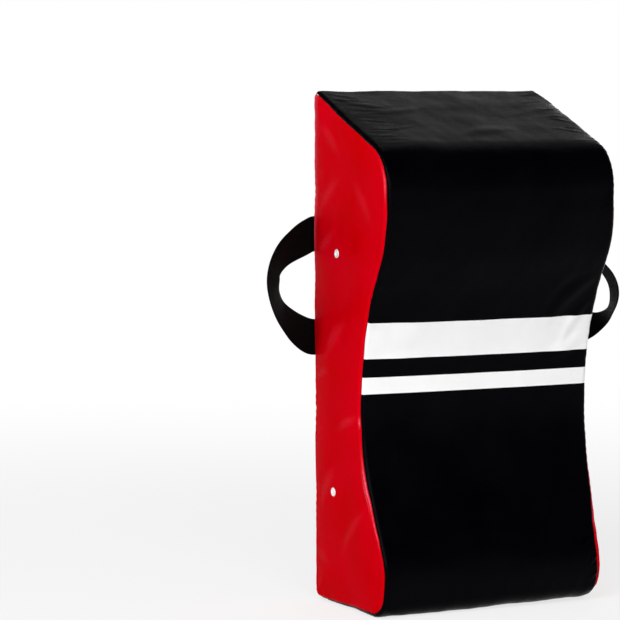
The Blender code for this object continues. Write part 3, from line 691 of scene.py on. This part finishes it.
def stitching(name, lines, on_sheet, body):
    """Small stitches along lines between pairs of places, which on_sheet turns into points"""
    vertices, faces = [], []
    for line in lines:
        points = [on_sheet(*place) for place in np.linspace(*line, 41)]
        lengths = np.concatenate([[0.0], np.cumsum([(b - a).length for a, b in zip(points, points[1:])])])
        axes = np.array(points).T
        count = max(1, int(lengths[-1] / STITCH_PITCH))
        start = (lengths[-1] - (count - 1) * STITCH_PITCH) / 2
        for number in range(count):
            middle = start + number * STITCH_PITCH
            ends = [Vector([np.interp(middle + end * STITCH_LENGTH / 2, lengths, axis) for axis in axes])
                    for end in (-1, 1)]
            add_stitch(vertices, faces, ends)
    new_object(name, vertices, faces, [THREAD], body, "webbing")


def box_lines(low, high, inset):
    """The four sides of a rectangle, a little inside it"""
    (x0, z0), (x1, z1) = np.array(low) + inset, np.array(high) - inset
    corners = [(x0, z0), (x1, z0), (x1, z1), (x0, z1)]
    return list(zip(corners, corners[1:] + corners[:1]))


def rounded_grid(low, high, steps, radius, lower_only=False):
    """Grid over a rectangle whose corners are pulled in to a radius"""
    u, v = np.meshgrid(*(np.linspace(start, end, count + 1) for start, end, count in zip(low, high, steps)),
                       indexing="ij")
    mid_u, mid_v = (np.array(low) + high) / 2
    half_u, half_v = (np.array(high) - low) / 2
    over_u = np.clip(np.abs(u - mid_u) - (half_u - radius), 0, None)
    over_v = np.clip(np.abs(v - mid_v) - (half_v - radius), 0, None)
    reach = np.hypot(over_u, over_v)
    outside = (over_u > 0) & (over_v > 0) & (reach > radius)
    if lower_only:
        outside &= v < mid_v
    cut = np.where(outside, 1 - radius / np.maximum(reach, 1e-9), 0.0)
    return u - np.sign(u - mid_u) * over_u * cut, v - np.sign(v - mid_v) * over_v * cut


def patch(level, side_name):
    """Sheet sewn over the end of a webbing run, with a sewn frame and a crossed box"""
    side = SIDES[side_name]
    name = "%s_%s" % (level, side_name)
    half_height = WEBBING_WIDTH / 2 + PATCH_MARGIN
    outer = HINGE_X - PATCH_SETBACK

    def top(v):
        over = 1 - smoothstep(WEBBING_WIDTH / 2 - 0.0006, WEBBING_WIDTH / 2 + 0.0022, np.abs(v))
        return BACK_Y + GAP + SHEET + (WEBBING_THICKNESS + GAP) * over

    def on_patch(u, v):
        return Vector((side * (outer - u), top(v) + 0.00015, RUN_HEIGHTS[level] + v))

    u, v = rounded_grid((0.0, -half_height), (PATCH_WIDTH, half_height), (32, 40), 0.006)
    y = top(v) + 0.00010 * waves(u, v, 51 + len(level) + side, 0.02)
    grid = np.stack([side * (outer - u), y, RUN_HEIGHTS[level] + v], axis=2)
    item = sheet_object("strap_cover_" + name, grid, u, v, [BACK_BLACK], "root", "black_sheet", BACKWARD)
    add_thickness(item, SHEET - 0.0001)
    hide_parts("strap_patch_" + name)
    low, high = (0.0105, 0.005 - WEBBING_WIDTH / 2), (PATCH_WIDTH - 0.0105, WEBBING_WIDTH / 2 - 0.005)
    lines = box_lines((0.0, -half_height), (PATCH_WIDTH, half_height), 0.0045) + box_lines(low, high, 0.0)
    lines += [(low, high), ((low[0], high[1]), (high[0], low[1]))]
    stitching("stitches_strap_" + name, lines, on_patch, "root")


def rounded_sheet(name, node, radius, material, body, slot, lower_only=False, wave=0.0, seed=0):
    """Thin sheet with rounded corners that fills its node's box, in a plane across Y"""
    low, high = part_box(node)
    steps = max(8, int((high[0] - low[0]) / 0.004)), max(4, int((high[2] - low[2]) / 0.004))
    u, v = rounded_grid((low[0], low[2]), (high[0], high[2]), steps, radius, lower_only)
    y = high[1] + wave * (waves(u, v, seed, 0.06) - 1.0) * smoothstep(0.0, 0.02, high[2] - v)
    item = sheet_object(name, np.stack([u, y, v], axis=2), u, v, [material], body, slot, BACKWARD)
    add_thickness(item, high[1] - low[1])
    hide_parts(node)


# Eyelets

def eyelet(level, side_name):
    """Rolled flange, barrel and capped bore, turned from a profile"""
    side = SIDES[side_name]
    depth, height = EYELETS[level]
    bore, barrel, flange, pin, steps = 0.0022, 0.0029, 0.0052, 0.0002, 48
    foot = -SHEET - 2 * GAP - 0.0010
    profile = [(pin, foot), (pin, GAP - 0.0003), (0.6 * bore, GAP - 0.0002), (bore, GAP)]
    for step in range(9):
        turn = math.pi * (1 - step / 8)
        middle, half = (bore + flange) / 2, (flange - bore) / 2
        profile.append((middle + half * math.cos(turn), GAP + 0.0009 * max(math.sin(turn), 0.0) ** 0.8))
    profile += [(flange - 0.0002, GAP - 0.0001), (barrel, GAP - 0.0001), (barrel, foot)]
    centre = world(side, (WIDTH / 2, depth, height))
    matrix = Matrix.Translation(centre) @ Matrix.Rotation(side * (math.pi / 2 + SIDE_LEAN), 4, "Y")
    vertices = [matrix @ Vector((radius * cosine, radius * sine, z))
                for cosine, sine in circle(steps) for radius, z in profile]
    faces = np.array(ring_faces(steps + 1, len(profile))) % len(vertices)
    name = "%s_%s" % (level, side_name)
    item = new_object("eyelet_ring_" + name, vertices, faces, [EYELET_METAL], "root", "eyelet_metal")
    recalculate_facing(item)
    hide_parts("eyelet_" + name)


# Materials

def srgb(red, green, blue):
    def linear(value):
        value = value / 255
        return value / 12.92 if value <= 0.04045 else ((value + 0.055) / 1.055) ** 2.4
    return (linear(red), linear(green), linear(blue), 1.0)


class Nodes:
    """Short ways to add nodes to a tree"""

    def __init__(self, tree):
        self.tree = tree

    def node(self, kind, links=None, **settings):
        """A node whose inputs are linked to sockets or set to values"""
        node = self.tree.nodes.new(kind)
        for key, value in settings.items():
            setattr(node, key, value)
        for name, value in (links or {}).items():
            if hasattr(value, "links"):
                self.tree.links.new(value, node.inputs[name])
            else:
                node.inputs[name].default_value = value
        return node

    def place(self):
        return self.node("ShaderNodeNewGeometry").outputs["Position"]

    def math(self, operation, *values):
        return self.node("ShaderNodeMath", dict(enumerate(values)), operation=operation).outputs[0]

    def ramp(self, value, low, high, from_low=0.0, from_high=1.0, **settings):
        links = {"Value": value, "From Min": from_low, "From Max": from_high, "To Min": low, "To Max": high}
        return self.node("ShaderNodeMapRange", links, **settings).outputs["Result"]


class Shader(Nodes):
    """A Principled material and its nodes"""

    def __init__(self, name, roughness=0.5, metallic=0.0, specular=0.5):
        self.material = bpy.data.materials.new(name)
        self.material.use_nodes = True
        super().__init__(self.material.node_tree)
        self.bsdf = self.tree.nodes["Principled BSDF"]
        self.set(Roughness=roughness, Metallic=metallic, Specular_IOR_Level=specular)

    def set(self, **values):
        for name, value in values.items():
            self.bsdf.inputs[name.replace("_", " ")].default_value = value

    def attribute(self, name, output):
        return self.node("ShaderNodeAttribute", attribute_name=name).outputs[output]

    def noise(self, vector, scale, detail=3.0, roughness=0.5):
        links = {"Vector": vector, "Scale": scale, "Detail": detail, "Roughness": roughness}
        return self.node("ShaderNodeTexNoise", links).outputs["Fac"]

    def mix(self, factor, a, b):
        return self.node("ShaderNodeMix", {0: factor, 6: a, 7: b}, data_type="RGBA").outputs[2]

    def bump(self, height, distance, strength=1.0, normal=None):
        links = {"Height": height, "Distance": distance, "Strength": strength}
        if normal is not None:
            links["Normal"] = normal
        return self.node("ShaderNodeBump", links).outputs["Normal"]

    def wave(self, value, pitch):
        return self.math("SINE", self.math("MULTIPLY", value, 2 * math.pi / pitch))

    def finish(self, **links):
        """Link colours and values to the Principled node and hand over the material"""
        for name, value in links.items():
            self.tree.links.new(value, self.bsdf.inputs[name.replace("_", " ")])
        return self.material


def coated_cloth(name, colour, light, dark, roughness, specular, scrim=0.00003, highlight_colour=None):
    """Coated sheet: the weave of its base cloth shows faintly through the glossy skin"""
    shader = Shader(name, roughness, specular=specular)
    flat = shader.attribute("flat", "Vector")
    broad = shader.noise(flat, 14.0)
    fine = shader.noise(flat, 160.0, 4.0)
    shade = shader.mix(shader.ramp(broad, 0.0, 1.0, 0.3, 0.7), dark, colour)
    scuffs = shader.noise(flat, 420.0, 2.0, 0.7)
    shade = shader.mix(shader.ramp(scuffs, 0.0, 0.35, 0.66, 0.8), shade, light)
    # Painted highlight: the highlight colour is mixed in where the mesh's attribute asks for it, broken up by the
    # scuff noise
    if highlight_colour:
        worn = shader.attribute("worn", "Fac")
        shade = shader.mix(shader.math("MULTIPLY", worn, shader.ramp(scuffs, 0.45, 1.0, 0.42, 0.56)), shade, highlight_colour)
    split = shader.node("ShaderNodeSeparateXYZ", {0: flat}).outputs
    normal = shader.bump(shader.math("MULTIPLY", *(shader.wave(split[axis], 0.0011) for axis in (0, 1))), scrim)
    normal = shader.bump(fine, 0.0003, 0.5, normal)
    normal = shader.bump(shader.noise(flat, 30.0, 2.0), 0.0006, 0.5, normal)
    gloss = shader.ramp(shader.math("ADD", broad, fine), roughness - 0.07, roughness + 0.09, 0.7, 1.3)
    return shader.finish(Base_Color=shade, Roughness=gloss, Normal=normal)


def ink(name):
    """Printed ink, a little matter than the sheet, with faint cracks"""
    shader = Shader(name, 0.42, specular=0.3)
    flat = shader.attribute("flat", "Vector")
    cracks = shader.node("ShaderNodeTexVoronoi", {"Vector": flat, "Scale": 260.0}, feature="DISTANCE_TO_EDGE")
    worn = shader.noise(flat, 60.0, 5.0, 0.65)
    lines = shader.math("MULTIPLY", shader.ramp(cracks.outputs["Distance"], 1.0, 0.0, 0.0, 0.05),
                        shader.ramp(worn, 0.0, 0.35, 0.6, 0.75))
    shade = shader.mix(lines, (0.94, 0.94, 0.94, 1.0), (0.55, 0.55, 0.56, 1.0))
    normal = shader.bump(shader.noise(flat, 160.0, 4.0), 0.0003, 0.5)
    return shader.finish(Base_Color=shade, Roughness=shader.ramp(worn, 0.36, 0.5, 0.3, 0.7), Normal=normal)


def webbing(name):
    """Woven polypropylene: ribs across, yarns along, and a flat selvedge"""
    shader = Shader(name, 0.62, specular=0.01)
    flat = shader.attribute("flat", "Vector")
    across, along, _ = shader.node("ShaderNodeSeparateXYZ", {0: flat}).outputs
    yarn = shader.wave(across, 0.0017)
    weave = shader.math("MULTIPLY", shader.math("ABSOLUTE", yarn), 0.8)
    weave = shader.math("MULTIPLY_ADD", shader.wave(along, 0.0021), yarn, weave)
    edge = shader.math("GREATER_THAN", shader.math("ABSOLUTE", across), WEBBING_WIDTH / 2 - 0.0025)
    fine = shader.noise(flat, 900.0)
    shade = shader.mix(shader.ramp(weave, 0.0, 1.0, -1.0, 1.6), srgb(1, 1, 1), srgb(9, 9, 10))
    shade = shader.mix(shader.math("MULTIPLY", edge, 0.5), shade, srgb(5, 5, 6))
    shade = shader.mix(shader.ramp(fine, 0.0, 0.3, 0.6, 0.8), shade, srgb(18, 18, 19))
    shader.set(Sheen_Weight=0.01, Sheen_Roughness=0.4)
    normal = shader.bump(fine, 0.0002, 0.6, shader.bump(weave, 0.00035))
    return shader.finish(Base_Color=shade, Roughness=shader.ramp(fine, 0.5, 0.75, 0.3, 0.7), Normal=normal)


def pile_tape(name, hooks):
    """Hook tape has rows of stubs, loop tape a tangled pile"""
    shader = Shader(name, 0.9, specular=0.2)
    flat = shader.attribute("flat", "Vector")
    if hooks:
        cells = shader.node("ShaderNodeTexVoronoi", {"Vector": flat, "Scale": 620.0, "Randomness": 0.25})
        relief = shader.ramp(cells.outputs["Distance"], 1.0, 0.0, 0.0, 0.6)
    else:
        relief = shader.noise(flat, 1400.0, 5.0, 0.7)
    shader.set(Sheen_Weight=0.1, Sheen_Roughness=0.5)
    shade = shader.mix(relief, srgb(8, 8, 9), srgb(34, 34, 36))
    return shader.finish(Base_Color=shade, Normal=shader.bump(relief, 0.0006))


def white_metal(name):
    """Bright white-lacquered metal"""
    shader = Shader(name, 0.30, metallic=0.25)
    scuffs = shader.noise(shader.place(), 1500.0, 4.0, 0.7)
    shade = shader.mix(shader.ramp(scuffs, 0.0, 0.5, 0.55, 0.8), srgb(250, 250, 250), srgb(214, 214, 216))
    gloss = shader.ramp(scuffs, 0.22, 0.40, 0.3, 0.7)
    return shader.finish(Base_Color=shade, Roughness=gloss, Normal=shader.bump(scuffs, 0.00002))


def foam(name, colour, shade):
    shader = Shader(name, 0.9, specular=0.2)
    place = shader.place()
    cells = shader.node("ShaderNodeTexVoronoi", {"Vector": place, "Scale": 700.0})
    pores = shader.ramp(cells.outputs["Distance"], 0.0, 1.0, 0.0, 0.5)
    shader.set(Sheen_Weight=0.1)
    tone = shader.mix(shader.math("MULTIPLY", pores, shader.noise(place, 30.0)), shade, colour)
    return shader.finish(Base_Color=tone, Normal=shader.bump(pores, 0.0004))


def thread(name):
    shader = Shader(name, 0.55, specular=0.4)
    strands = shader.noise(shader.place(), 2600.0)
    shader.set(Sheen_Weight=0.2)
    shade = shader.mix(strands, srgb(20, 20, 22), srgb(60, 60, 63))
    return shader.finish(Base_Color=shade, Normal=shader.bump(strands, 0.0001))


BLACK = coated_cloth("black_coated_cloth", srgb(3, 3, 6), srgb(9, 9, 12), srgb(1, 1, 3), 0.18, 0.026)
# The red's tone drifts at random between its dark and pinker colours; this drift also stands in for painted sheen
# streaks
RED = coated_cloth("red_coated_cloth", srgb(207, 1, 22), srgb(212, 8, 40), srgb(198, 0, 6), 0.22, 0.002, 0.00002,
                   # Colour of the painted highlights on the red's seam ridges, back edge and folds
                   srgb(246, 118, 142))
BACK_BLACK = coated_cloth("black_back_cloth", srgb(12, 12, 14), srgb(20, 20, 22), srgb(9, 9, 10), 0.34, 0.10)
INK = ink("white_ink")
WEBBING = webbing("black_webbing")
HOOKS = pile_tape("hook_tape_pile", True)
LOOPS_PILE = pile_tape("loop_tape_pile", False)
EYELET_METAL = white_metal("white_eyelet_metal")
CORE_FOAM = foam("core_foam", srgb(236, 234, 226), srgb(190, 186, 174))
LAYER_FOAM = foam("layer_foam", srgb(150, 153, 158), srgb(105, 108, 114))
THREAD = thread("black_thread")


# The object

front_cover()
for side_name in SIDES:
    side_cover(side_name)
back_cover("cover_back", "back_panel", 61)
back_cover("cover_back_foot", "back_foot_panel", 65)

for side_name in SIDES:
    hand_loop(side_name)
    for level in RUN_HEIGHTS:
        patch(level, side_name)
        eyelet(level, side_name)
    rounded_sheet("backing_sheet_" + side_name, "backing_patch_" + side_name, 0.006, BLACK, "root", "black_sheet")
for level in RUN_HEIGHTS:
    back_run(level)


def back_face(node):
    """Lower left and upper right corner of the back of a node's box, and its y"""
    low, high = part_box(node)
    return (low[0], low[2]), (high[0], high[2]), high[1]


def flat_stitching(name, lines, y, body):
    stitching(name, lines, lambda x, z: Vector((x, y, z)), body)


rounded_sheet("closure_flap_sheet", "closure_flap", FLAP_CORNER, BACK_BLACK, "flap", "black_sheet", lower_only=True,
              wave=0.00015, seed=71)
rounded_sheet("flap_hem", "flap_seam_strip", SHEET_CORNER, BACK_BLACK, "root", "black_sheet")
rounded_sheet("closure_tape_loop", "loop_tape", SHEET_CORNER, LOOPS_PILE, "root", "tape")
low, high, tape_y = back_face("loop_tape")
flat_stitching("stitches_tape_loop", box_lines(low, high, TAPE_INSET), tape_y, "root")
rounded_sheet("closure_tape_hook", "hook_tape", SHEET_CORNER, HOOKS, "flap", "tape")
low, high, _ = back_face("hook_tape")
lines = box_lines(low, high, TAPE_INSET)
(left, bottom), (right, top), flap_y = back_face("closure_flap")
lines += [((left + FLAP_INSET, top), (left + FLAP_INSET, bottom + FLAP_CORNER)),
          ((left + FLAP_CORNER, bottom + FLAP_INSET), (right - FLAP_CORNER, bottom + FLAP_INSET)),
          ((right - FLAP_INSET, bottom + FLAP_CORNER), (right - FLAP_INSET, top))]
flat_stitching("stitches_flap", lines, flap_y + 0.00005, "flap")
(left, bottom), (right, top), hem_y = back_face("flap_seam_strip")
heights = [bottom + share * (top - bottom) for share in (0.25, 0.75)]
flat_stitching("stitches_hem", [((left + 0.003, z), (right - 0.003, z)) for z in heights], hem_y + 0.00005, "root")


FOAM_CENTRE, FOAM_SCALE, FOAM_EDGE = np.array((0.0, BACK_Y - 0.057, 0.295)), np.array((0.986, 0.977, 0.995)), 0.020


def split_long_edges(mesh, longest):
    bm = bmesh.new()
    bm.from_mesh(mesh)
    for _ in range(6):
        long = [edge for edge in bm.edges if edge.calc_length() > longest]
        if not long:
            break
        bmesh.ops.subdivide_edges(bm, edges=long, cuts=1)
        bmesh.ops.triangulate(bm, faces=bm.faces)
    bm.to_mesh(mesh)
    bm.free()


def only_material(mesh, material):
    mesh.materials.clear()
    mesh.materials.append(material)


def foam_piece(name, node, material):
    """A foam layer follows the uneven cover; all layers shrink together, to stay clear of its valleys"""
    mesh = NODES[node].data.copy()
    split_long_edges(mesh, FOAM_EDGE)
    points = np.zeros(len(mesh.vertices) * 3, np.float32)
    mesh.vertices.foreach_get("co", points)
    points = points.reshape(-1, 3)
    local_x = np.abs(points[:, 0]) * WIDTH / (FOOT_WIDTH + (WIDTH - FOOT_WIDTH) * points[:, 2] / HEIGHT)
    points = FOAM_CENTRE + (points - FOAM_CENTRE) * FOAM_SCALE
    for side in (-1, 1):
        here = points[:, 0] * side > 0
        wider, higher = slack(side, local_x[here], BACK_Y - points[here, 1], points[here, 2])
        points[here] += np.stack([side * wider, 0.0 * wider, higher], axis=1)
    mesh.vertices.foreach_set("co", points.astype(np.float32).ravel())
    mesh.update()
    only_material(mesh, material)
    item = linked_object(name, mesh)
    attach(item, "root")
    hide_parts(node)


foam_piece("foam_block", "foam_core", CORE_FOAM)
foam_piece("foam_face_layer", "foam_face_pad", LAYER_FOAM)
foam_piece("foam_back_layer", "foam_back_slab", LAYER_FOAM)

for side_name in SIDES:
    for level in EYELETS:
        only_material(NODES["eyelet_washer_%s_%s" % (level, side_name)].data, EYELET_METAL)


# Camera

YAW, PITCH, ROLL = math.radians(27.657), math.radians(4.455), math.radians(0.124)
FOCAL_PIXELS, FRAME_PIXELS = 3022.0, 620.0
CAMERA_PLACE = Vector((-1.79556, -3.04555, 0.61641))


def add_camera():
    data = bpy.data.cameras.new("camera")
    data.sensor_width = 36.0
    data.lens = FOCAL_PIXELS / FRAME_PIXELS * data.sensor_width
    data.clip_end = 100.0
    camera = linked_object("camera", data)
    turns = (-YAW, "Z"), (math.pi / 2 - PITCH, "X"), (ROLL, "Z")
    camera.matrix_world = Matrix.Translation(CAMERA_PLACE)
    for turn, axis in turns:
        camera.matrix_world @= Matrix.Rotation(turn, 4, axis)
    bpy.context.scene.camera = camera


# Floor, lights and world

STUDIO_FRONT, STUDIO_CEILING = 0.30, 0.10
FLOOR_REACH, FLOOR_LEVEL = 60.0, -0.0004


def seen_by_eye(nodes):
    """1 for rays from the camera, and for those that metal reflects or glass lets through"""
    path = nodes.node("ShaderNodeLightPath").outputs
    either = nodes.math("MAXIMUM", path["Is Camera Ray"], path["Is Glossy Ray"])
    return nodes.math("MAXIMUM", either, path["Is Transmission Ray"])


def add_floor():
    material = bpy.data.materials.new("pale_floor")
    material.use_nodes = True
    nodes = Nodes(material.node_tree)
    nodes.tree.nodes.clear()
    diffuse = nodes.node("ShaderNodeBsdfDiffuse", {"Color": (0.94, 0.94, 0.94, 1.0)})
    glow = nodes.node("ShaderNodeEmission", {"Strength": 1.0})
    away = nodes.node("ShaderNodeVectorMath", {0: nodes.place()}, operation="LENGTH").outputs["Value"]
    fade = nodes.ramp(away, 0.72, 1.0, 0.5, 2.5, interpolation_type="SMOOTHSTEP")
    share = nodes.math("MULTIPLY", seen_by_eye(nodes), fade)
    mix = nodes.node("ShaderNodeMixShader", {0: share, 1: diffuse.outputs[0], 2: glow.outputs[0]})
    nodes.node("ShaderNodeOutputMaterial", {"Surface": mix.outputs[0]})
    mesh = bpy.data.meshes.new("floor")
    corners = [(x * FLOOR_REACH, y * FLOOR_REACH, FLOOR_LEVEL) for x, y in ((-1, -1), (1, -1), (1, 1), (-1, 1))]
    mesh.from_pydata(corners, [], [(0, 1, 2, 3)])
    mesh.materials.append(material)
    linked_object("floor", mesh)


def add_world(ambient):
    """White for the eye and for reflections, but darker in front of the object and overhead; plain light else"""
    studio = bpy.data.worlds.new("studio")
    bpy.context.scene.world = studio
    studio.use_nodes = True
    nodes = Nodes(studio.node_tree)
    way = nodes.node("ShaderNodeTexCoord").outputs["Generated"]
    split = nodes.node("ShaderNodeSeparateXYZ", {0: way}).outputs
    front = nodes.ramp(split["Y"], STUDIO_FRONT, 1.0, 0.0, 0.55, interpolation_type="SMOOTHSTEP")
    ceiling = nodes.ramp(split["Z"], 1.0, STUDIO_CEILING, 0.25, 0.68, interpolation_type="SMOOTHSTEP")
    strength = nodes.ramp(seen_by_eye(nodes), ambient, nodes.math("MULTIPLY", front, ceiling))
    background = nodes.tree.nodes["Background"]
    background.inputs["Color"].default_value = (1.0, 1.0, 1.0, 1.0)
    nodes.tree.links.new(strength, background.inputs["Strength"])


def add_light(name, place, target, size, power):
    data = bpy.data.lights.new(name, "AREA")
    data.shape = "RECTANGLE"
    data.size = data.size_y = size
    data.energy = power
    light = linked_object(name, data)
    light.location = place
    light.rotation_mode = "QUATERNION"
    light.rotation_quaternion = (Vector(target) - Vector(place)).to_track_quat("-Z", "Y")


add_camera()
add_floor()
add_world(0.27)
add_light("key", (-2.4, -1.8, 2.2), (0.0, 0.0, 0.3), 2.0, 78.0)
add_light("fill", (-0.9, -3.4, 1.6), (0.0, 0.0, 0.3), 1.5, 36.0)
add_light("top", (1.10, 1.00, 2.35), (0.90, 1.00, 0.0), 1.1, 2.8)
add_light("back", (1.7, 2.8, 0.7), (0.0, 0.0, 0.3), 1.6, 28.0)
bpy.context.scene.view_settings.view_transform = "Standard"
